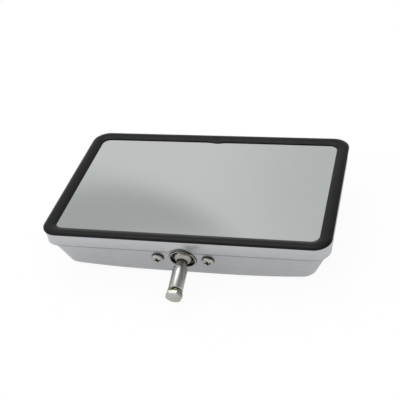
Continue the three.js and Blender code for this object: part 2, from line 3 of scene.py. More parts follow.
import bmesh
import bpy
from mathutils import Matrix, Vector
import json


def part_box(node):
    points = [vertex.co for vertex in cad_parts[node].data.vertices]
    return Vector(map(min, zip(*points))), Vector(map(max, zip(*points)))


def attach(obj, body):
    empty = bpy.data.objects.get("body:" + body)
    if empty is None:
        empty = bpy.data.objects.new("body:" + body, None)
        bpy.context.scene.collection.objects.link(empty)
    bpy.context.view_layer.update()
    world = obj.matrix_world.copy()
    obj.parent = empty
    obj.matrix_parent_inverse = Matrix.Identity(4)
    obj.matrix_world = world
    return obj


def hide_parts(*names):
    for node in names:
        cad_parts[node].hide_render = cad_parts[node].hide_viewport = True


# Rectangular mirror head with a ball stud, lying on its back with its glass up.
# Metres, in the frame of the CAD model: +X along the long side, +Z out of the glass.

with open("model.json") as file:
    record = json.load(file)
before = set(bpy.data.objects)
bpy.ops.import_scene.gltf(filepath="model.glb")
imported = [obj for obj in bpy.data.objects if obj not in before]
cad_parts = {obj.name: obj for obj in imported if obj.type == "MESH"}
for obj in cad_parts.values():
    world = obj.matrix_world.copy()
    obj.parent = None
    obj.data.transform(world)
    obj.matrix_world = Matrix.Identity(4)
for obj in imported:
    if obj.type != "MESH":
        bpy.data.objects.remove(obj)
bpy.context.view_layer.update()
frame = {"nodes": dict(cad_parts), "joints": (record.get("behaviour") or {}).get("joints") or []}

MM = 0.001
merge_distance = 0.001 * MM

# Sizes read from the frame
face_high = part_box("rim_gasket")[1]
half_length = face_high.x
half_width = face_high.y
glass_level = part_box("housing")[1].z
glass_inset = half_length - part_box("mirror_glass")[1].x

# Face outline and gasket, as the CAD model has them
face_corner = 15.2 * MM
sight_corner = 7.5 * MM
gasket_cover = 10.7 * MM
gasket_crest = 2.4 * MM
gasket_shoulder_share = 0.2
gasket_crest_share = 0.6
gasket_lip = 0.5 * MM
gasket_rim = 0.6 * MM
gasket_web = 1.5 * MM
gasket_lower_lip = 1.7 * MM
gasket_lower_reach = 3.6 * MM
joint_gap = 0.25 * MM
joint_bulge = 1.5 * MM
joint_spread = 5.5 * MM
seat_gap = 0.3 * MM

# Glass
glass_thickness = 3 * MM
glass_crown = 0.8 * MM

# Housing
sheet = 0.8 * MM
band_inset = 1.3 * MM
band_height = 11.8 * MM
step_height = 1.0 * MM
step_inset = 1.3 * MM
rim_bend = 1.6 * MM
long_taper = 0.287
end_taper = 0.444
wall_corner = 17 * MM
base_fillet = 8 * MM
base_corner = 9 * MM
flat_half_length = 30 * MM
flat_half_width = 20 * MM
flat_corner = 6 * MM
back_bow = 6.0 * MM
back_dome = 2.0 * MM
pressed_flat = 14 * MM

# Ball stud, bolt, ring and screws, measured along the swivel axis from the ball centre
ball_radius = 9.525 * MM
wall_face = 5.4 * MM
neck_radius = 4.8 * MM
post_standoff = 9.6 * MM
post_radius = 6.35 * MM
post_length = 22 * MM
post_chamfer = 0.6 * MM
bolt_hole = 4.2 * MM
bolt_hole_depth = 17 * MM
bolt_radius = 3.95 * MM
bolt_shank = 15 * MM
bolt_flats = 12.7 * MM
bolt_head = 5 * MM
washer_thickness = 1.5 * MM
washer_rise = 0.7 * MM
washer_outer = 6.4 * MM
washer_split = math.radians(14)
ring_nose = 1.0 * MM
ring_bore = 10.825 * MM
ring_sleeve = 11.925 * MM
ring_recess = 2.8 * MM
ring_lip = 2.1 * MM
ring_flange = 14.1 * MM
ring_flange_thickness = 1.5 * MM
ring_skirt = 2.4 * MM
bracket_thickness = 2 * MM
screw_spacing = 44.6 * MM
screw_radius = 2.4 * MM
screw_head = 5.25 * MM
screw_head_height = 3.2 * MM
recess_span = 5.8 * MM
recess_width = 1.7 * MM
recess_depth = 2.2 * MM

# Levels that follow
step_bottom = glass_level - band_height - step_height
wall_drop = step_bottom - back_dome
post_root = wall_face + post_standoff
post_end = post_root + post_length
washer_level = post_end + seat_gap
bolt_seat = washer_level + washer_thickness + washer_rise + seat_gap
nose_level = wall_face + ring_nose

turn_joint = next(joint for joint in frame["joints"] if joint["name"] == "bush_turn")
ball_centre = Vector(turn_joint["pos_m"])
outward = Vector(turn_joint["axis"]).normalized()
along = Vector((1, 0, 0))
swivel_axes = Matrix((along, outward.cross(along), outward)).transposed()
swivel = Matrix.Translation(ball_centre) @ swivel_axes.to_4x4()


# Making meshes

def mix(start, end, share):
    return start + (end - start) * share


def make_object(name, data):
    """An object for a mesh, the camera's lens or a lamp's light"""
    thing = bpy.data.objects.new(name, data)
    bpy.context.scene.collection.objects.link(thing)
    return thing


def make_mesh(name, points, faces, place=Matrix()):
    """A closed or open mesh from points and faces, its doubles merged and its faces turned outwards"""
    shape = bmesh.new()
    corners = [shape.verts.new(place @ Vector(point)) for point in points]
    for face in faces:
        if len(set(face)) > 2:
            shape.faces.new([corners[i] for i in face])
    bmesh.ops.remove_doubles(shape, verts=shape.verts, dist=merge_distance)
    bmesh.ops.recalc_face_normals(shape, faces=shape.faces)
    mesh = bpy.data.meshes.new(name)
    shape.to_mesh(mesh)
    shape.free()
    return mesh


def settle(piece, smooth_below=35):
    """Applies the piece's modifiers, turns its faces outwards and smooths its shallow edges"""
    bpy.context.view_layer.update()
    graph = bpy.context.evaluated_depsgraph_get()
    mesh = bpy.data.meshes.new_from_object(piece.evaluated_get(graph))
    piece.modifiers.clear()
    piece.data = mesh
    shape = bmesh.new()
    shape.from_mesh(mesh)
    bmesh.ops.remove_doubles(shape, verts=shape.verts, dist=merge_distance)
    bmesh.ops.recalc_face_normals(shape, faces=shape.faces)
    shape.to_mesh(mesh)
    shape.free()
    mesh.shade_smooth()
    mesh.set_sharp_from_angle(angle=math.radians(smooth_below))
    return piece


def finish_piece(piece, body, nodes, material):
    """Paints a piece, puts it under its body's empty and hides the CAD nodes that it stands for"""
    piece.data.materials.clear()
    piece.data.materials.append(material)
    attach(piece, body)
    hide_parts(*nodes)


def combine(piece, tool, operation):
    """Cuts or joins a piece with a tool object, which is then removed"""
    step = piece.modifiers.new("combine", "BOOLEAN")
    step.operation = operation
    step.solver = "MANIFOLD"
    step.object = tool
    settle(piece)
    bpy.data.objects.remove(tool)
    return piece


def ring_faces(rings, count, closed):
    """Quads between neighbouring rings of the same number of points"""
    faces = []
    for r in range(rings - 1):
        for i in range(count if closed else count - 1):
            j = (i + 1) % count
            faces.append((r * count + i, r * count + j, (r + 1) * count + j, (r + 1) * count + i))
    return faces


def eased(profile, size):
    """A turned profile with its inner corners rounded by a small radius"""
    points = [Vector(point) for point in profile]
    rounded = [points[0]]
    for before, corner, after in zip(points, points[1:], points[2:]):
        reach = min(size, (before - corner).length / 2, (after - corner).length / 2)
        start = corner + (before - corner).normalized() * reach
        end = corner + (after - corner).normalized() * reach
        middle = (start + end) / 4 + corner / 2
        rounded += [start, middle, end]
    return rounded + [points[-1]]


def turned_mesh(name, profile, sides=96, place=swivel):
    """A shape turned about the swivel axis, or about Z at the origin; profile points are (radius, level)"""
    points = []
    for radius, level in profile:
        for i in range(sides):
            angle = 2 * math.pi * i / sides
            points.append((radius * math.cos(angle), radius * math.sin(angle), level))
    return make_mesh(name, points, ring_faces(len(profile), sides, True), place)


def sphere_arc(radius, from_level, to_level, steps):
    from_angle = math.asin(from_level / radius)
    to_angle = math.asin(to_level / radius)
    angles = [mix(from_angle, to_angle, i / steps) for i in range(steps + 1)]
    return [(radius * math.cos(angle), radius * math.sin(angle)) for angle in angles]


# Outlines of the face

def rounded_outline(half_x, half_y, radius, corner_steps, side_cuts, far_stations=()):
    """Points round a rounded rectangle, counter-clockwise, starting at the far middle"""
    run_x = half_x - radius
    run_y = half_y - radius
    points = [(-share * run_x, half_y) for share in far_stations]

    def arc(centre_x, centre_y, from_angle):
        for i in range(corner_steps + 1):
            angle = from_angle + math.pi / 2 * i / corner_steps
            points.append((centre_x + radius * math.cos(angle), centre_y + radius * math.sin(angle)))

    # Next to the far middle the stations take the place of these cuts
    clear = 0.7
    cuts = [i / side_cuts * 2 - 1 for i in range(1, side_cuts)]
    points += [(-run_x * (share + 1) / 2, half_y) for share in cuts if share > -clear]
    arc(-run_x, run_y, math.pi / 2)
    points += [(-half_x, -share * run_y) for share in cuts]
    arc(-run_x, -run_y, math.pi)
    points += [(share * run_x, -half_y) for share in cuts]
    arc(run_x, -run_y, -math.pi / 2)
    points += [(half_x, share * run_y) for share in cuts]
    arc(run_x, run_y, 0)
    points += [(-run_x * (share - 1) / 2, half_y) for share in cuts if share < clear]
    points += [(share * run_x, half_y) for share in reversed(far_stations)]
    return points


def face_radius(inset):
    """Corner radius of the face's outline at this inset from its edge"""
    return mix(face_corner, sight_corner, inset / gasket_cover)


# Housing

def beyond_flat(distance, flat, reach):
    """How far past the flat a point lies, as a share of the way to reach"""
    return max(0, abs(distance) - flat) / (reach - flat)


def bow_share(x):
    """How much of the back's rise towards its two ends is reached at x"""
    return beyond_flat(x, flat_half_length, half_length) ** 2


def fillet_point(taper, turn):
    """Inset and drop below the step of a point in the base fillet, for a wall of this taper"""
    lean = math.atan(taper)
    centre_drop = wall_drop - base_fillet
    centre_inset = taper * centre_drop + base_fillet / math.cos(lean)
    angle = mix(lean, math.pi / 2, turn)
    return centre_inset - base_fillet * math.cos(angle), centre_drop + base_fillet * math.sin(angle)


housing_corner_steps = 10
housing_side_cuts = 14
far_cuts = (0, 0.05, 0.1)


def housing_outline(half_x, half_y, radius):
    return rounded_outline(half_x, half_y, radius, housing_corner_steps, housing_side_cuts, far_cuts)


def wall_ring(share, turn):
    """A ring of the wall: at a share of the way down to the base fillet, or, with share 1, round it"""
    end_inset, end_drop = (value * share for value in fillet_point(end_taper, turn))
    long_inset, drop = (value * share for value in fillet_point(long_taper, turn))
    foot = band_inset + step_inset
    half_x = half_length - foot - end_inset
    half_y = half_width - foot - long_inset
    radius = mix(wall_corner, base_corner, min(1, drop / wall_drop))
    ring = []
    for x, y in housing_outline(half_x, half_y, radius):
        along_end = (max(0, abs(x) - (half_x - radius)) / radius) ** 2
        level = mix(drop, end_drop, along_end)
        ring.append((x, y, step_bottom - level + level / wall_drop * back_bow * bow_share(x)))
    return ring


def back_ring(share):
    """A ring of the crowned back, from the middle flat at share 0 out to the fillet at share 1"""
    foot = band_inset + step_inset
    edge_x = half_length - foot - fillet_point(end_taper, 1)[0]
    edge_y = half_width - foot - fillet_point(long_taper, 1)[0]
    half_x = mix(flat_half_length, edge_x, share)
    half_y = mix(flat_half_width, edge_y, share)
    ring = []
    for x, y in housing_outline(half_x, half_y, mix(flat_corner, base_corner, share)):
        dome_x = 1 - beyond_flat(x, flat_half_length, edge_x) ** 2
        dome_y = 1 - beyond_flat(y, flat_half_width, edge_y) ** 2
        ring.append((x, y, back_dome * (1 - dome_x * dome_y) + back_bow * bow_share(x)))
    return ring


def band_ring(inset, level, radius):
    """A level ring of the step, the band, its rolled rim or its flange, inset from the band's face"""
    outline = housing_outline(half_length - band_inset - inset, half_width - band_inset - inset, radius)
    return [(x, y, level) for x, y in outline]


def housing_rings():
    """Outer skin of the drawn sheet, from the middle of the back up to the flange's edge"""
    band_corner = face_radius(band_inset)
    rings = [back_ring(i / 8) for i in range(8)]
    rings += [wall_ring(1, turn) for turn in (1, 0.86, 0.71, 0.57, 0.43, 0.29, 0.14, 0)]
    rings += [wall_ring(share, 0) for share in (0.75, 0.5, 0.25, 0.06)]
    for i in range(7):
        turn = i / 6
        share = (1 + math.cos(math.pi * turn)) / 2
        radius = mix(band_corner, wall_corner, share)
        rings.append(band_ring(step_inset * share, step_bottom + step_height * turn, radius))
    for turn in (0, 0.2, 0.4, 0.6, 0.8, 1):
        angle = math.pi / 2 * turn
        inset = rim_bend * (1 - math.cos(angle))
        level = glass_level - rim_bend * (1 - math.sin(angle))
        rings.append(band_ring(inset, level, band_corner - inset))
    flange = glass_inset - seat_gap - gasket_web - seat_gap - band_inset
    rings.append(band_ring(flange, glass_level, band_corner - flange))
    return rings


def round_cutter(name, radius, x, low, high):
    """A disc square to the swivel axis, from one level to another, x beside the axis"""
    profile = [(0, low), (radius, low), (radius, high), (0, high)]
    tool = make_object(name, turned_mesh(name, profile, sides=64))
    tool.data.transform(Matrix.Translation((x, 0, 0)))
    return tool


def build_housing(material):
    """The drawn skin, given the sheet's thickness, pressed flat round the socket and pierced"""
    rings = housing_rings()
    count = len(rings[0])
    points = [point for ring in rings for point in ring]
    faces = ring_faces(len(rings), count, True)
    faces.append(tuple(range(count)))
    shell = make_object("housing_shell", make_mesh("housing_shell", points, faces))
    wall = shell.modifiers.new("sheet thickness", "SOLIDIFY")
    wall.thickness = sheet
    wall.offset = -1
    wall.use_even_offset = True
    settle(shell)
    # Round the socket the sheet is pressed flat, level with the wall, which leaves a low arch in the band
    backing = round_cutter("pressed flat", pressed_flat + sheet, 0, wall_face - sheet, wall_face)
    combine(shell, backing, "UNION")
    tool_end = wall_face + 6 * MM
    combine(shell, round_cutter("press tool", pressed_flat, 0, wall_face, tool_end), "DIFFERENCE")
    hole_end = 8 * MM
    combine(shell, round_cutter("ring hole", ring_sleeve + seat_gap, 0, 0, hole_end), "DIFFERENCE")
    for x in (-screw_spacing / 2, screw_spacing / 2):
        combine(shell, round_cutter("screw hole", screw_radius + seat_gap, x, 0, hole_end), "DIFFERENCE")
    finish_piece(shell, "mirror_head", ["housing"], material)


# Node trees

def add_node(tree, kind, inputs=(), **settings):
    """Adds one node; each input is a plain value, or the output socket that feeds it"""
    node = tree.nodes.new(kind)
    for name, value in settings.items():
        setattr(node, name, value)
    for key, value in dict(inputs).items():
        if isinstance(value, bpy.types.NodeSocket):
            tree.links.new(value, node.inputs[key])
        else:
            node.inputs[key].default_value = value
    return node


def geometry_tree(name, lengths, others):
    """An empty Geometry Nodes tree with a geometry in and out, and its named inputs"""
    tree = bpy.data.node_groups.new(name, "GeometryNodeTree")
    tree.interface.new_socket("Geometry", in_out="OUTPUT", socket_type="NodeSocketGeometry")
    kinds = {"Geometry": "Geometry", **dict.fromkeys(lengths, "Float"), **others}
    for label, kind in kinds.items():
        tree.interface.new_socket(label, in_out="INPUT", socket_type="NodeSocket" + kind)
    return tree


def end_tree(tree, geometry, material):
    real = add_node(tree, "GeometryNodeRealizeInstances", {"Geometry": geometry})
    painted = add_node(tree, "GeometryNodeSetMaterial", {"Geometry": real.outputs[0], "Material": material})
    add_node(tree, "NodeGroupOutput", {"Geometry": painted.outputs[0]})


def run_tree(piece, tree, values):
    """Puts a tree on a piece, sets its named inputs by identifier and applies it"""
    step = piece.modifiers.new(tree.name, "NODES")
    step.node_group = tree
    for item in tree.interface.items_tree:
        if item.item_type == "SOCKET" and item.in_out == "INPUT" and item.name in values:
            step[item.identifier] = values[item.name]
    return settle(piece)


# Gasket: its section swept round the face, from one cut end to the other

def gasket_section():
    """Points (inset from the face edge, height over the glass) of the rubber strip's section"""
    rim_top = seat_gap + gasket_rim
    lip_top = seat_gap + gasket_lip
    # Halfway along a curve of this kind, each end counts for 1/8 and the two middle points for 3/4
    control = (gasket_crest - (rim_top + lip_top) / 8) / (3 / 4)
    crest = []
    steps = 28
    for i in range(steps + 1):
        t = i / steps
        weights = ((1 - t) ** 3, 3 * (1 - t) ** 2 * t, 3 * (1 - t) * t ** 2, t ** 3)
        insets = (0, gasket_cover * gasket_shoulder_share, gasket_cover * gasket_crest_share, gasket_cover)
        heights = (rim_top, control, control, lip_top)
        inset = sum(weight * value for weight, value in zip(weights, insets))
        height = sum(weight * value for weight, value in zip(weights, heights))
        crest.append((inset, height))
    web_inner = glass_inset - seat_gap
    web_outer = web_inner - gasket_web
    under_glass = -glass_thickness - seat_gap
    underside = under_glass - gasket_lower_lip
    under_flange = -sheet - seat_gap
    toe = band_inset + sheet + rim_bend / 2
    reach = web_inner + gasket_lower_reach
    lower = [
        (gasket_cover, seat_gap), (web_inner, seat_gap), (web_inner, under_glass), (reach, under_glass),
        (reach, underside), (toe + sheet, underside), (toe, underside + sheet), (toe, under_flange),
        (web_outer, under_flange), (web_outer, seat_gap), (0, seat_gap),
    ]
    return crest + lower


def gasket_tree():
    """Sweeps the section along the face edge, leans it towards the sight edge and swells it at the joint"""
    lengths = ("Cover", "Lip start", "Bulge", "Bulge spread")
    tree = geometry_tree("strip round the face", lengths, {"Section": "Object", "Rubber": "Material"})
    given = add_node(tree, "NodeGroupInput").outputs
    place = add_node(tree, "GeometryNodeInputPosition").outputs[0]
    run = add_node(tree, "GeometryNodeStoreNamedAttribute", {
        "Geometry": given["Geometry"], "Name": "face_edge", "Value": place,
    }, data_type="FLOAT_VECTOR", domain="POINT")
    path = add_node(tree, "GeometryNodeMeshToCurve", {"Mesh": run.outputs[0]})
    drawn = add_node(tree, "GeometryNodeObjectInfo", {"Object": given["Section"]})
    marked = add_node(tree, "GeometryNodeStoreNamedAttribute", {
        "Geometry": drawn.outputs["Geometry"], "Name": "section_place", "Value": place,
    }, data_type="FLOAT_VECTOR", domain="POINT")
    section = add_node(tree, "GeometryNodeMeshToCurve", {"Mesh": marked.outputs[0]})
    swept = add_node(tree, "GeometryNodeCurveToMesh", {
        "Curve": path.outputs[0], "Profile Curve": section.outputs[0], "Fill Caps": True,
    })
    read = {}
    for name in ("face_edge", "to_sight_edge", "section_place"):
        node = add_node(tree, "GeometryNodeInputNamedAttribute", {"Name": name}, data_type="FLOAT_VECTOR")
        read[name] = node.outputs["Attribute"]
    edge = add_node(tree, "ShaderNodeSeparateXYZ", {0: read["face_edge"]}).outputs
    point = add_node(tree, "ShaderNodeSeparateXYZ", {0: read["section_place"]}).outputs
    share = add_node(tree, "ShaderNodeMath", {0: point["X"], 1: given["Cover"]}, operation="DIVIDE")
    inward = add_node(tree, "ShaderNodeVectorMath", {
        0: read["to_sight_edge"], "Scale": share.outputs[0],
    }, operation="SCALE")
    # The lip swells inwards where the two cut ends meet, in a bell curve along the far side
    off_middle = add_node(tree, "ShaderNodeMath", {
        0: edge["X"], 1: given["Bulge spread"],
    }, operation="DIVIDE")
    squared = add_node(tree, "ShaderNodeMath", {0: off_middle.outputs[0], 1: 2}, operation="POWER")
    negative = add_node(tree, "ShaderNodeMath", {0: squared.outputs[0], 1: -1}, operation="MULTIPLY")
    bell = add_node(tree, "ShaderNodeMath", {0: negative.outputs[0]}, operation="EXPONENT")
    on_lip = add_node(tree, "ShaderNodeMapRange", {
        "Value": point["X"], "From Min": given["Lip start"], "From Max": given["Cover"],
    })
    above = add_node(tree, "ShaderNodeMath", {0: point["Z"], 1: 0}, operation="GREATER_THAN")
    far_side = add_node(tree, "ShaderNodeMath", {0: edge["Y"], 1: 0}, operation="GREATER_THAN")
    swell = given["Bulge"]
    for factor in (bell.outputs[0], on_lip.outputs[0], above.outputs[0], far_side.outputs[0], -1):
        swell = add_node(tree, "ShaderNodeMath", {0: swell, 1: factor}, operation="MULTIPLY").outputs[0]
    lift = add_node(tree, "ShaderNodeCombineXYZ", {"Y": swell, "Z": point["Z"]})
    spot = read["face_edge"]
    for move in (lift.outputs[0], inward.outputs[0]):
        spot = add_node(tree, "ShaderNodeVectorMath", {0: spot, 1: move}, operation="ADD").outputs[0]
    placed = add_node(tree, "GeometryNodeSetPosition", {"Geometry": swept.outputs[0], "Position": spot})
    end_tree(tree, placed.outputs[0], given["Rubber"])
    return tree


def gasket_path():
    """The face edge as an open line from cut end to cut end, with the way to the sight edge on each point"""
    stations = (0.008, 0.02, 0.035, 0.05, 0.07, 0.1)

    def run(inset):
        half_x = half_length - inset
        half_y = half_width - inset
        outline = rounded_outline(
            half_x, half_y, face_radius(inset), corner_steps=12, side_cuts=16, far_stations=stations,
        )
        return [(-joint_gap / 2, half_y), *outline, (joint_gap / 2, half_y)]

    edge = run(0)
    sight = run(gasket_cover)
    mesh = bpy.data.meshes.new("face edge")
    points = [(x, y, glass_level) for x, y in edge]
    mesh.from_pydata(points, [(i, i + 1) for i in range(len(points) - 1)], [])
    way = mesh.attributes.new("to_sight_edge", "FLOAT_VECTOR", "POINT")
    for item, (x, y), (sight_x, sight_y) in zip(way.data, edge, sight):
        item.vector = (sight_x - x, sight_y - y, 0)
    return mesh


def build_gasket(material):
    section = bpy.data.meshes.new("gasket section")
    points = [(inset, 0, height) for inset, height in gasket_section()]
    section.from_pydata(points, [(i, (i + 1) % len(points)) for i in range(len(points))], [])
    drawn = make_object("gasket section", section)
    strip = make_object("gasket_strip", gasket_path())
    run_tree(strip, gasket_tree(), {
        "Section": drawn,
        "Cover": gasket_cover,
        "Lip start": glass_inset,
        "Bulge": joint_bulge,
        "Bulge spread": joint_spread,
        "Rubber": material,
    })
    bpy.data.objects.remove(drawn)
    finish_piece(strip, "mirror_head", ["rim_gasket"], material)


# Glass

def build_glass(material):
    """A crowned pane: rows of points across a rounded rectangle, given its thickness and a seamed edge"""
    half_x = half_length - glass_inset
    half_y = half_width - glass_inset
    corner = face_radius(glass_inset)
    straight = half_y - corner
    corner_rows = 8
    straight_rows = 16
    arc = [corner * math.sin(math.pi / 2 * i / corner_rows) for i in range(1, corner_rows + 1)]
    rows = [-straight - step for step in reversed(arc)]
    rows += [straight * (2 * i / straight_rows - 1) for i in range(straight_rows + 1)]
    rows += [straight + step for step in arc]
    columns = 49
    points = []
    for y in rows:
        into_corner = max(0, abs(y) - straight)
        reach = half_x - corner + math.sqrt(max(0, corner ** 2 - into_corner ** 2))
        for i in range(columns):
            x = reach * (2 * i / (columns - 1) - 1)
            crown = glass_crown * (1 - (x / half_x) ** 2) * (1 - (y / half_y) ** 2)
            points.append((x, y, glass_level + crown))
    pane = make_object("mirror_pane", make_mesh("mirror_pane", points, ring_faces(len(rows), columns, False)))
    if pane.data.polygons[0].normal.z < 0:
        pane.data.flip_normals()
    thick = pane.modifiers.new("pane thickness", "SOLIDIFY")
    thick.thickness = glass_thickness
    thick.offset = -1
    seam = pane.modifiers.new("seamed edge", "BEVEL")
    seam.width = 0.3 * MM
    seam.segments = 2
    seam.angle_limit = math.radians(60)
    settle(pane, smooth_below=50)
    finish_piece(pane, "mirror_head", ["mirror_glass"], material)


# Ring and ball stud

def build_ring(material):
    """Sleeve with a flange behind the wall, a recessed nose and a lip that holds the ball in"""
    lip_face = nose_level - ring_recess
    lip_back = lip_face - ring_lip
    flange_face = wall_face - sheet - bracket_thickness - 2 * seat_gap
    flange_back = flange_face - ring_flange_thickness
    skirt = flange_back - ring_skirt
    lip = sphere_arc(ball_radius + seat_gap, lip_face, lip_back, steps=4)
    profile = [
        (ring_bore, skirt), (ring_sleeve, skirt), (ring_sleeve, flange_back), (ring_flange, flange_back),
        (ring_flange, flange_face), (ring_sleeve, flange_face), (ring_sleeve, nose_level),
        (ring_bore, nose_level), (ring_bore, lip_face), *lip, (ring_bore, lip_back), (ring_bore, skirt),
    ]
    ring = make_object("socket_collar", turned_mesh("socket_collar", eased(profile, 0.3 * MM)))
    settle(ring)
    finish_piece(ring, "mirror_head", ["socket_ring"], material)


def bolt_head_tree():
    """A hexagonal bar along Z whose corners are turned down to a 30 degree chamfer at its top"""
    lengths = ("Across flats", "Height", "Face radius")
    tree = geometry_tree("hexagonal bolt head", lengths, {"Zinc": "Material"})
    given = add_node(tree, "NodeGroupInput").outputs
    corner = add_node(tree, "ShaderNodeMath", {
        0: given["Across flats"], 1: 1 / math.sqrt(3),
    }, operation="MULTIPLY")
    bar = add_node(tree, "GeometryNodeMeshCylinder", {
        "Vertices": 6, "Radius": corner.outputs[0], "Depth": given["Height"],
    })
    wide = add_node(tree, "ShaderNodeMath", {
        0: given["Height"], 1: math.sqrt(3), 2: given["Face radius"],
    }, operation="MULTIPLY_ADD")
    cone = add_node(tree, "GeometryNodeMeshCone", {
        "Vertices": 128, "Radius Top": given["Face radius"],
        "Radius Bottom": wide.outputs[0], "Depth": given["Height"],
    })
    half = add_node(tree, "ShaderNodeMath", {0: given["Height"], 1: 0.5}, operation="MULTIPLY")
    up = add_node(tree, "ShaderNodeCombineXYZ", {"Z": half.outputs[0]})
    raised = add_node(tree, "GeometryNodeTransform", {
        "Geometry": bar.outputs[0], "Translation": up.outputs[0],
    })
    meet = add_node(tree, "GeometryNodeMeshBoolean", operation="INTERSECT", solver="EXACT")
    tree.links.new(raised.outputs[0], meet.inputs["Mesh 2"])
    tree.links.new(cone.outputs[0], meet.inputs["Mesh 2"])
    end_tree(tree, meet.outputs[0], given["Zinc"])
    return tree


def soften_edges(piece, width):
    """Breaks the sharp edges of a piece with a narrow rounded bevel"""
    edges = piece.modifiers.new("broken edges", "BEVEL")
    edges.width = width
    edges.segments = 2
    edges.angle_limit = math.radians(24)
    edges.use_clamp_overlap = True
    return settle(piece, smooth_below=40)


def build_stud(material):
    """Ball, neck and post in one turned bar, with the hole that takes the bolt"""
    neck_top = math.sqrt(ball_radius ** 2 - neck_radius ** 2)
    neck_foot = mix(neck_top, post_root, 0.2)
    hole_end = post_end - bolt_hole_depth
    core = sphere_arc(ball_radius, -ball_radius, neck_top, steps=24)
    core += eased([
        (neck_radius, neck_foot), (neck_radius, post_root),
        (post_radius - post_chamfer, post_root), (post_radius, post_root + post_chamfer),
        (post_radius, post_end - post_chamfer), (post_radius - post_chamfer, post_end),
        (bolt_hole, post_end), (bolt_hole, hole_end), (0, hole_end - bolt_hole / 2),
    ], 0.25 * MM)
    stud = make_object("ball_and_post", turned_mesh("ball_and_post", core))
    settle(stud)
    finish_piece(stud, "stud", ["ball_stud"], material)


def build_bolt(material):
    """A turned shank and washer face, joined to the hexagonal head that they reach into"""
    washer_face = 0.35 * MM
    washer_edge = bolt_flats / 2 - 0.3 * MM
    into_head = bolt_seat + washer_face + 0.15 * MM
    tip = bolt_seat - bolt_shank
    tip_chamfer = 0.8 * MM
    root = bolt_seat + 1 * MM
    shank = [
        (0, tip), (bolt_radius - tip_chamfer, tip), (bolt_radius, tip + tip_chamfer),
        (bolt_radius, bolt_seat), (washer_edge, bolt_seat), (washer_edge, into_head),
        (bolt_radius, root), (0, root),
    ]
    bolt = make_object("hexagon_bolt", turned_mesh("hexagon_bolt", shank))
    head = make_object("head", bpy.data.meshes.new("head"))
    run_tree(head, bolt_head_tree(), {
        "Across flats": bolt_flats, "Height": bolt_head - washer_face,
        "Face radius": bolt_flats / 2 - 0.5 * MM, "Zinc": material,
    })
    head.data.transform(swivel @ Matrix.Translation((0, 0, bolt_seat + washer_face)))
    combine(bolt, head, "UNION")
    soften_edges(bolt, 0.15 * MM)
    finish_piece(bolt, "stud", ["mount_bolt"], material)


def build_lock_washer(material):
    """A square section wound once round, its end lifted, with both cut ends on a slant"""
    steps = 72
    slant = math.radians(9)
    ease = 0.15 * MM
    low, high = 0, washer_thickness
    inner, outer = bolt_hole, washer_outer
    section = [
        (inner + ease, low), (outer - ease, low), (outer, low + ease), (outer, high - ease),
        (outer - ease, high), (inner + ease, high), (inner, high - ease), (inner, low + ease),
    ]
    points = []
    for i in range(steps + 1):
        share = i / steps
        # Zero over most of the turn, and one at both cut ends
        near_end = abs(2 * share - 1) ** 6
        for radius, height in section:
            angle = math.pi / 2 + washer_split / 2 + (2 * math.pi - washer_split) * share
            angle += slant * near_end * (2 * height / washer_thickness - 1)
            level = washer_level + washer_rise * share + height
            points.append((radius * math.cos(angle), radius * math.sin(angle), level))
    count = len(section)
    faces = ring_faces(steps + 1, count, True)
    faces += [tuple(range(count)), tuple(range(steps * count, (steps + 1) * count))]
    washer = make_object("split_washer", make_mesh("split_washer", points, faces, swivel))
    settle(washer, smooth_below=50)
    finish_piece(washer, "stud", ["lock_washer"], material)


# Clamp screws

def screw_tree():
    """One turned screw, cut with a cross recess and set at both ends of a line along X"""
    lengths = ("Spacing", "Recess span", "Recess width", "Wing height", "Head top")
    tree = geometry_tree("pair of cross recess screws", lengths, {"Zinc": "Material"})
    given = add_node(tree, "NodeGroupInput").outputs
    # Two crossed wings, half of their height in the head, cut the recess
    size = add_node(tree, "ShaderNodeCombineXYZ", {
        "X": given["Recess span"], "Y": given["Recess width"], "Z": given["Wing height"],
    })
    wing = add_node(tree, "GeometryNodeMeshCube", {"Size": size.outputs[0]})
    seat = add_node(tree, "ShaderNodeCombineXYZ", {"Z": given["Head top"]})
    cut = add_node(tree, "GeometryNodeMeshBoolean", {
        "Mesh 1": given["Geometry"],
    }, operation="DIFFERENCE", solver="EXACT")
    for quarter in (0, math.pi / 2):
        laid = add_node(tree, "GeometryNodeTransform", {
            "Geometry": wing.outputs[0], "Rotation": (0, 0, quarter), "Translation": seat.outputs[0],
        })
        tree.links.new(laid.outputs[0], cut.inputs["Mesh 2"])
    left = add_node(tree, "ShaderNodeMath", {0: given["Spacing"], 1: -0.5}, operation="MULTIPLY")
    start = add_node(tree, "ShaderNodeCombineXYZ", {"X": left.outputs[0]})
    stride = add_node(tree, "ShaderNodeCombineXYZ", {"X": given["Spacing"]})
    places = add_node(tree, "GeometryNodeMeshLine", {
        "Count": 2, "Start Location": start.outputs[0], "Offset": stride.outputs[0],
    }, mode="OFFSET")
    spin = add_node(tree, "FunctionNodeRandomValue", {
        "Max": (0, 0, math.pi / 2), "Seed": 5,
    }, data_type="FLOAT_VECTOR")
    pair = add_node(tree, "GeometryNodeInstanceOnPoints", {
        "Points": places.outputs[0], "Instance": cut.outputs[0], "Rotation": spin.outputs[0],
    })
    end_tree(tree, pair.outputs[0], given["Zinc"])
    return tree


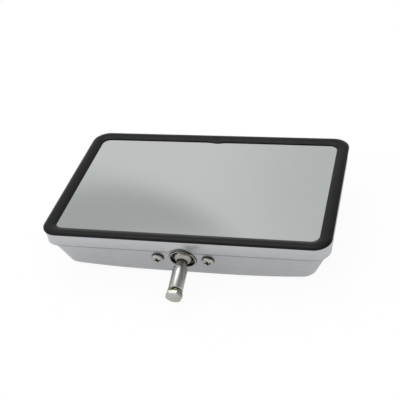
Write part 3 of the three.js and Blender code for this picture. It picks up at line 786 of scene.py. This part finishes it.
def build_clamp_screws(material):
    """One blank turned about Z at the origin, which the tree cuts and sets twice, leaned over at the end"""
    under = wall_face + seat_gap
    top = under + screw_head_height
    side = under + 0.35 * screw_head_height
    end = -reach_behind_ball("clamp_screw_left")
    tip_chamfer = 0.5 * MM
    head_ease = 0.2 * MM
    profile = [
        (0, end), (screw_radius - tip_chamfer, end), (screw_radius, end + tip_chamfer), (screw_radius, under),
        (screw_head - head_ease, under), (screw_head, under + head_ease),
    ]
    dome_steps = 10
    for i in range(dome_steps):
        angle = math.pi / 2 * i / dome_steps
        profile.append((screw_head * math.cos(angle), mix(side, top, math.sin(angle))))
    profile.append((0, top))
    screws = make_object("cross_screws", turned_mesh("cross_screws", profile, sides=64, place=Matrix()))
    run_tree(screws, screw_tree(), {
        "Spacing": screw_spacing, "Recess span": recess_span, "Recess width": recess_width,
        "Wing height": 2 * recess_depth, "Head top": top, "Zinc": material,
    })
    screws.data.transform(swivel)
    soften_edges(screws, 0.08 * MM)
    finish_piece(screws, "mirror_head", ["clamp_screw_left", "clamp_screw_right"], material)


def reach_behind_ball(node):
    """How far a CAD node reaches into the head, behind the ball centre along the swivel axis"""
    points = frame["nodes"][node].data.vertices
    return max(-(point.co - ball_centre).dot(outward) for point in points)


# Colours and finishes

def colour(code):
    """An sRGB hex colour as linear red, green, blue and alpha"""
    channels = [int(code[i:i + 2], 16) / 255 for i in (1, 3, 5)]
    linear = [c / 12.92 if c <= 0.04045 else ((c + 0.055) / 1.055) ** 2.4 for c in channels]
    return (*linear, 1)


def every(width):
    """The scale of a pattern whose patches are about this many millimetres wide"""
    return 1 / (width * MM)


def emptied(owner):
    """The cleared node tree of a new material or world"""
    owner.use_nodes = True
    owner.node_tree.nodes.clear()
    return owner.node_tree


def start_material(name, metallic=0):
    """A material with a Principled shader, its tree and the object's coordinates"""
    material = bpy.data.materials.new(name)
    tree = emptied(material)
    shader = add_node(tree, "ShaderNodeBsdfPrincipled", {"Metallic": metallic})
    add_node(tree, "ShaderNodeOutputMaterial", {"Surface": shader.outputs[0]})
    place = add_node(tree, "ShaderNodeTexCoord").outputs["Object"]
    return material, tree, shader, place


def mottled(tree, place, width, detail, roughness, dark, light):
    """Patches about so many millimetres wide, and the tone that they give between two close colours"""
    patches = add_node(tree, "ShaderNodeTexNoise", {
        "Vector": place, "Scale": every(width), "Detail": detail, "Roughness": roughness,
    })
    tone = add_node(tree, "ShaderNodeMix", {
        "Factor": patches.outputs[0], 6: colour(dark), 7: colour(light),
    }, data_type="RGBA")
    return patches.outputs[0], tone.outputs[2]


def painted_corner_shade(tree, tone, code, reach, deep, open_sky):
    """Paints shade into a tone: darkens it where the surface within reach is shut in, in corners and recesses
    """
    shut = add_node(tree, "ShaderNodeAmbientOcclusion", {"Distance": reach}, samples=12)
    unshaded = add_node(tree, "ShaderNodeMapRange", {
        "Value": shut.outputs["AO"], "From Min": deep, "From Max": open_sky,
    })
    mixed = add_node(tree, "ShaderNodeMix", {
        "Factor": unshaded.outputs[0], 6: colour(code), 7: tone,
    }, data_type="RGBA")
    return mixed.outputs[2]


def dress(tree, shader, tone, gloss=None, relief=None):
    """Links a shader's colour, roughness and relief to the sockets that are given"""
    for name, socket in (("Base Color", tone), ("Roughness", gloss), ("Normal", relief)):
        if socket is not None:
            tree.links.new(socket, shader.inputs[name])


def marked(tree, tone, measure, level, within, fade, limit, code):
    """Paints a band of shade into a tone where a measure is close to a level, but only as far as the limit
    lets it
    """
    strongest = 0.8
    offset = add_node(tree, "ShaderNodeMath", {0: measure, 1: level}, operation="SUBTRACT")
    apart = add_node(tree, "ShaderNodeMath", {0: offset.outputs[0]}, operation="ABSOLUTE")
    mark = add_node(tree, "ShaderNodeMapRange", {
        "Value": apart.outputs[0], "From Min": within, "From Max": fade, "To Min": strongest, "To Max": 0,
    }, interpolation_type="SMOOTHSTEP")
    share = add_node(tree, "ShaderNodeMath", {0: mark.outputs[0], 1: limit}, operation="MULTIPLY")
    mixed = add_node(tree, "ShaderNodeMix", {
        "Factor": share.outputs[0], 6: tone, 7: colour(code),
    }, data_type="RGBA")
    return mixed.outputs[2]


def painted_step_shade(tree, place, tone):
    """Painted shade: a darker line along the foot of the step, and a dark line in the corner of the arch that
    ends it
    """
    height = add_node(tree, "ShaderNodeSeparateXYZ", {0: place}).outputs["Z"]
    from_ball = add_node(tree, "ShaderNodeVectorMath", {0: place, 1: ball_centre}, operation="SUBTRACT")
    across = add_node(tree, "ShaderNodeVectorMath", {
        0: from_ball.outputs[0], 1: outward,
    }, operation="CROSS_PRODUCT")
    length = add_node(tree, "ShaderNodeVectorMath", {0: across.outputs[0]}, operation="LENGTH")
    radius = length.outputs["Value"]
    past_arch = add_node(tree, "ShaderNodeMapRange", {
        "Value": radius, "From Min": pressed_flat - 0.5 * MM, "From Max": pressed_flat + 0.5 * MM,
    }).outputs[0]
    above_step = add_node(tree, "ShaderNodeMapRange", {
        "Value": height, "From Min": step_bottom - 0.3 * MM, "From Max": step_bottom + 0.5 * MM,
    }).outputs[0]
    foot = step_bottom + 0.3 * MM
    tone = marked(tree, tone, height, foot, 0.5 * MM, 1.5 * MM, past_arch, "#727376")
    return marked(tree, tone, radius, pressed_flat, 0.4 * MM, 1.2 * MM, above_step, "#4b4845")


def polished_stainless():
    # Drawn stainless sheet, satin polished: broad soft reflections, fine lines along the long side, smudges
    material, tree, shader, place = start_material("satin polished stainless sheet", 1)
    # Polishing lines are about 0.05 mm apart; 0.56 mm is as fine as the render can show
    stretched = add_node(tree, "ShaderNodeMapping", {
        "Vector": place, "Scale": (every(40), every(0.556), every(0.556)),
    })
    lines = add_node(tree, "ShaderNodeTexNoise", {"Vector": stretched.outputs[0], "Scale": 1, "Detail": 3})
    # The metal's grain is finer than 0.1 mm and is drawn 0.7 mm wide, so that it shows
    grain = add_node(tree, "ShaderNodeTexNoise", {"Vector": place, "Scale": every(0.714), "Detail": 2})
    smudges, tone = mottled(tree, place, 35.7, 5, 0.6, "#afb1b4", "#bcbdbf")
    # Painted shade: darker within 1.6 mm of corners and recesses, over the painted shade lines at the step
    # and the arch
    corner_shaded_sheet = painted_corner_shade(tree, painted_step_shade(tree, place, tone), "#5d5d60", 1.6 * MM, 0.35, 0.9)
    gloss = add_node(tree, "ShaderNodeMapRange", {
        "Value": lines.outputs[0], "From Min": 0.3, "From Max": 0.7, "To Min": 0.22, "To Max": 0.30,
    })
    hazed = add_node(tree, "ShaderNodeMath", {
        0: smudges, 1: 0.07, 2: gloss.outputs[0],
    }, operation="MULTIPLY_ADD")
    fine = add_node(tree, "ShaderNodeBump", {
        "Strength": 0.2, "Distance": 0.03 * MM, "Height": grain.outputs[0],
    })
    drawn = add_node(tree, "ShaderNodeBump", {
        "Strength": 0.10, "Distance": 0.03 * MM, "Height": lines.outputs[0], "Normal": fine.outputs[0],
    })
    dress(tree, shader, corner_shaded_sheet, hazed.outputs[0], drawn.outputs[0])
    return material


def black_rubber():
    # Extruded EPDM rubber: black and satin, with a skin of fine bumps and a dusty bloom in patches
    material, tree, shader, place = start_material("extruded black rubber")
    shader.inputs["IOR"].default_value = 1.52
    shader.inputs["Specular IOR Level"].default_value = 0.16
    bloom, tone = mottled(tree, place, 11.1, 6, 0.65, "#070707", "#131313")
    # The skin's bumps are about 0.2 mm wide and are drawn 0.7 mm wide, so that they show
    skin = add_node(tree, "ShaderNodeTexNoise", {"Vector": place, "Scale": every(0.667), "Detail": 3})
    gloss = add_node(tree, "ShaderNodeMapRange", {
        "Value": bloom, "From Min": 0.3, "From Max": 0.7, "To Min": 0.28, "To Max": 0.42,
    })
    bumpy = add_node(tree, "ShaderNodeBump", {
        "Strength": 0.25, "Distance": 0.05 * MM, "Height": skin.outputs[0],
    })
    dress(tree, shader, tone, gloss.outputs[0], bumpy.outputs[0])
    return material


def silvered_glass():
    # Silvered float glass: a clear mirror under a thin film of dust and wiping marks
    material, tree, shader, place = start_material("silvered float glass", 1)
    tone = mottled(tree, place, 71.4, 4, 0.55, "#d7d9d8", "#dcdedc")[1]
    # A cloth leaves marks about 4 mm apart and several times as long, on a slant
    wiped = add_node(tree, "ShaderNodeMapping", {
        "Vector": place, "Rotation": (0, 0, 0.4), "Scale": (every(33.3), every(3.85), 1),
    })
    marks = add_node(tree, "ShaderNodeTexNoise", {"Vector": wiped.outputs[0], "Scale": 1, "Detail": 3})
    haze = add_node(tree, "ShaderNodeMapRange", {
        "Value": marks.outputs[0], "From Min": 0.35, "From Max": 0.7, "To Min": 0.06, "To Max": 0.085,
    })
    dress(tree, shader, tone, haze.outputs[0])
    return material


def steel_finish(name, dark, light, roughness, spread, axis_rings=0.0, grease=None):
    """Bare or plated steel, with tool marks round the swivel axis and grease about the ball if asked for"""
    material, tree, shader, place = start_material(name, 1)
    stain, tone = mottled(tree, place, 6.25, 5, 0.6, dark, light)
    # The metal's grain is finer than 0.1 mm and is drawn 0.8 mm wide, so that it shows
    grain = add_node(tree, "ShaderNodeTexNoise", {"Vector": place, "Scale": every(0.833), "Detail": 3})
    if grease:
        # Old grease darkens the ball, its neck and the ring, and thins out towards the post
        away = add_node(tree, "ShaderNodeVectorMath", {0: place, 1: ball_centre}, operation="DISTANCE")
        smeared = add_node(tree, "ShaderNodeMath", {
            0: stain, 1: 4 * MM, 2: away.outputs["Value"],
        }, operation="MULTIPLY_ADD")
        wiped = add_node(tree, "ShaderNodeMapRange", {
            "Value": smeared.outputs[0], "From Min": 14 * MM, "From Max": 18 * MM,
        })
        tone = add_node(tree, "ShaderNodeMix", {
            "Factor": wiped.outputs[0], 6: colour(grease), 7: tone,
        }, data_type="RGBA").outputs[2]
    # Painted shade: darker within 4 mm of corners and recesses, such as inside the ring and in the screws'
    # cross recesses
    corner_shaded_steel = painted_corner_shade(tree, tone, "#1c1a16", 4 * MM, 0.35, 0.95)
    gloss = add_node(tree, "ShaderNodeMapRange", {
        "Value": stain, "From Min": 0.3, "From Max": 0.7,
        "To Min": roughness - spread, "To Max": roughness + spread,
    })
    relief = add_node(tree, "ShaderNodeBump", {
        "Strength": 0.15, "Distance": 0.02 * MM, "Height": grain.outputs[0],
    })
    if axis_rings:
        # The tool feeds about 0.1 mm a turn; 0.6 mm is as fine as the render can show
        feed = 0.6 * MM
        level = add_node(tree, "ShaderNodeVectorMath", {0: place, 1: outward}, operation="DOT_PRODUCT")
        turns = add_node(tree, "ShaderNodeMath", {
            0: level.outputs["Value"], 1: 2 * math.pi / feed,
        }, operation="MULTIPLY")
        ridge = add_node(tree, "ShaderNodeMath", {0: turns.outputs[0]}, operation="SINE")
        relief = add_node(tree, "ShaderNodeBump", {
            "Strength": axis_rings, "Distance": 0.01 * MM,
            "Height": ridge.outputs[0], "Normal": relief.outputs[0],
        })
    dress(tree, shader, corner_shaded_steel, gloss.outputs[0], relief.outputs[0])
    return material


def plain_finish(name, dark, light, roughness, pore_width, pore_depth):
    """Foam or nylon: two close tones and fine pores or moulding grain"""
    material, tree, shader, place = start_material(name)
    tone = mottled(tree, place, 8.33, 4, 0.5, dark, light)[1]
    pores = add_node(tree, "ShaderNodeTexVoronoi", {"Vector": place, "Scale": every(pore_width)})
    shader.inputs["Roughness"].default_value = roughness
    bump = add_node(tree, "ShaderNodeBump", {
        "Strength": pore_depth, "Distance": 0.2 * MM, "Height": pores.outputs["Distance"],
    })
    dress(tree, shader, tone, relief=bump.outputs[0])
    return material


# Studio

def build_camera():
    """The photograph's view: where it stood, how it looked down and across, and its slight roll"""
    lens = bpy.data.cameras.new("camera")
    lens.lens = 78.08
    lens.sensor_width = 36
    camera = make_object("camera", lens)
    stand = Matrix.Translation((0.20203, -0.61056, 0.50003))
    azimuth = math.radians(18.515)
    elevation = math.radians(36.111)
    roll = math.radians(-8.567)
    ahead = math.cos(elevation)
    look = Vector((-math.sin(azimuth) * ahead, math.cos(azimuth) * ahead, -math.sin(elevation)))
    aim = look.to_track_quat("-Z", "Y").to_matrix().to_4x4()
    camera.matrix_world = stand @ aim @ Matrix.Rotation(roll, 4, "Z")
    bpy.context.scene.camera = camera


def sort_rays(tree):
    """1 for a ray from the camera, and 1 for a ray that comes off metal or through glass"""
    ray = add_node(tree, "ShaderNodeLightPath").outputs
    mirrored = add_node(tree, "ShaderNodeMath", {
        0: ray["Is Glossy Ray"], 1: ray["Is Transmission Ray"],
    }, operation="MAXIMUM")
    return ray["Is Camera Ray"], mirrored.outputs[0]


def build_floor():
    """A plain white floor that keeps the head's shadow and looks white to the eye and pale in the metal"""
    reach = 30
    camera_glow = 0.92
    mirrored_glow = 0.35
    points = [(-reach, -reach, 0), (reach, -reach, 0), (reach, reach, 0), (-reach, reach, 0)]
    floor = make_object("floor", make_mesh("floor", points, [(0, 1, 2, 3)]))
    if floor.data.polygons[0].normal.z < 0:
        floor.data.flip_normals()
    material = bpy.data.materials.new("white studio floor")
    tree = emptied(material)
    paper = add_node(tree, "ShaderNodeBsdfDiffuse", {"Color": colour("#ffffff")})
    glow = add_node(tree, "ShaderNodeEmission", {"Color": colour("#ffffff"), "Strength": 1.0})
    straight, mirrored = sort_rays(tree)
    soft = add_node(tree, "ShaderNodeMath", {0: mirrored, 1: mirrored_glow}, operation="MULTIPLY")
    share = add_node(tree, "ShaderNodeMath", {
        0: straight, 1: camera_glow, 2: soft.outputs[0],
    }, operation="MULTIPLY_ADD")
    both = add_node(tree, "ShaderNodeMixShader", {
        0: share.outputs[0], 1: paper.outputs[0], 2: glow.outputs[0],
    })
    add_node(tree, "ShaderNodeOutputMaterial", {"Surface": both.outputs[0]})
    floor.data.materials.append(material)


def build_world():
    """Soft even light; the metal sees white at the horizon, grey walls above and a white sheet overhead"""
    world = bpy.data.worlds.new("studio")
    bpy.context.scene.world = world
    tree = emptied(world)
    way = add_node(tree, "ShaderNodeTexCoord").outputs["Generated"]
    split = add_node(tree, "ShaderNodeSeparateXYZ", {0: way}).outputs
    facing = {}
    for name, direction in (("screen", (-0.384, 0.598, 0.703)), ("sheet", (-0.22, 0.32, 0.92))):
        facing[name] = add_node(tree, "ShaderNodeVectorMath", {
            0: way, 1: Vector(direction).normalized(),
        }, operation="DOT_PRODUCT").outputs["Value"]
    # Over the middle wall: the left wall, the right wall, a soft grey screen in the far left corner, which
    # is the darker round patch at the lower left of the glass, the white horizon and the sheet overhead.
    # Each comes in as its measure goes from the first value to the second.
    tone = colour("#cfd1d1")
    layers = (
        (split["X"], -0.10, -0.28, "#dee0df"),
        (split["X"], 0.1, 0.6, "#94979b"),
        (facing["screen"], 0.971, 0.983, "#b8bcbb"),
        (split["Z"], 0.45, 0.18, "#ffffff"),
        (facing["sheet"], 0.87, 0.94, "#ffffff"),
    )
    for measure, begin, full, code in layers:
        share = add_node(tree, "ShaderNodeMapRange", {
            "Value": measure, "From Min": begin, "From Max": full,
        }, interpolation_type="SMOOTHSTEP")
        tone = add_node(tree, "ShaderNodeMix", {
            "Factor": share.outputs[0], 6: tone, 7: colour(code),
        }, data_type="RGBA").outputs[2]
    seen_sky = add_node(tree, "ShaderNodeBackground", {"Color": tone, "Strength": 1.0})
    light_sky = add_node(tree, "ShaderNodeBackground", {"Color": colour("#ffffff"), "Strength": 0.85})
    straight, mirrored = sort_rays(tree)
    seen = add_node(tree, "ShaderNodeMath", {0: straight, 1: mirrored}, operation="MAXIMUM")
    both = add_node(tree, "ShaderNodeMixShader", {
        0: seen.outputs[0], 1: light_sky.outputs[0], 2: seen_sky.outputs[0],
    })
    add_node(tree, "ShaderNodeOutputWorld", {"Surface": both.outputs[0]})


def build_lamp(name, place, size, power):
    """A softbox that faces the middle of the head's back"""
    light = bpy.data.lights.new(name, "AREA")
    light.shape = "RECTANGLE"
    light.size, light.size_y = size
    light.energy = power
    aim = (-Vector(place)).to_track_quat("-Z", "Y").to_matrix().to_4x4()
    make_object(name, light).matrix_world = Matrix.Translation(place) @ aim


# The whole head

build_camera()
build_floor()
build_world()
build_lamp("overhead softbox", (-0.30, 0.45, 1.35), (0.7, 0.7), 2.8)
build_lamp("side softbox", (-1.0, -0.8, 0.9), (0.6, 0.9), 3)

turned_steel = steel_finish("turned steel", "#b6b5af", "#cccbc6", 0.23, 0.05, 0.1, "#a39f98")
zinc_plate = steel_finish("zinc plated steel", "#a3a39e", "#bdbdb8", 0.30, 0.08)
yellow_zinc = steel_finish("yellow zinc plated steel", "#99906a", "#bcb692", 0.32, 0.08)
pressed_steel = steel_finish("oiled pressed steel", "#74777b", "#8f9296", 0.46, 0.10)
spring_steel = steel_finish("blued spring steel", "#3d4654", "#5b626c", 0.36, 0.08)
nylon = plain_finish("natural moulded nylon", "#d3cfbf", "#e0ddcf", 0.5, 1.11, 0.1)
foam = plain_finish("closed cell foam", "#2d2d2f", "#3c3c3f", 0.9, 0.714, 0.6)

build_housing(polished_stainless())
build_gasket(black_rubber())
build_glass(silvered_glass())
build_ring(turned_steel)
build_stud(turned_steel)
build_bolt(zinc_plate)
build_lock_washer(yellow_zinc)
build_clamp_screws(zinc_plate)

inner_finishes = {
    "backing_pad": foam,
    "socket_bracket": pressed_steel,
    "seat_bush": nylon,
    "ball_cup": pressed_steel,
    "disc_spring": spring_steel,
    "clamp_plate": pressed_steel,
    "screw_washer_left": zinc_plate,
    "screw_washer_right": zinc_plate,
    "screw_nut_left": zinc_plate,
    "screw_nut_right": zinc_plate,
}
for node, material in inner_finishes.items():
    painted = frame["nodes"][node].data.materials
    painted.clear()
    painted.append(material)

bpy.context.scene.view_settings.view_transform = "Standard"
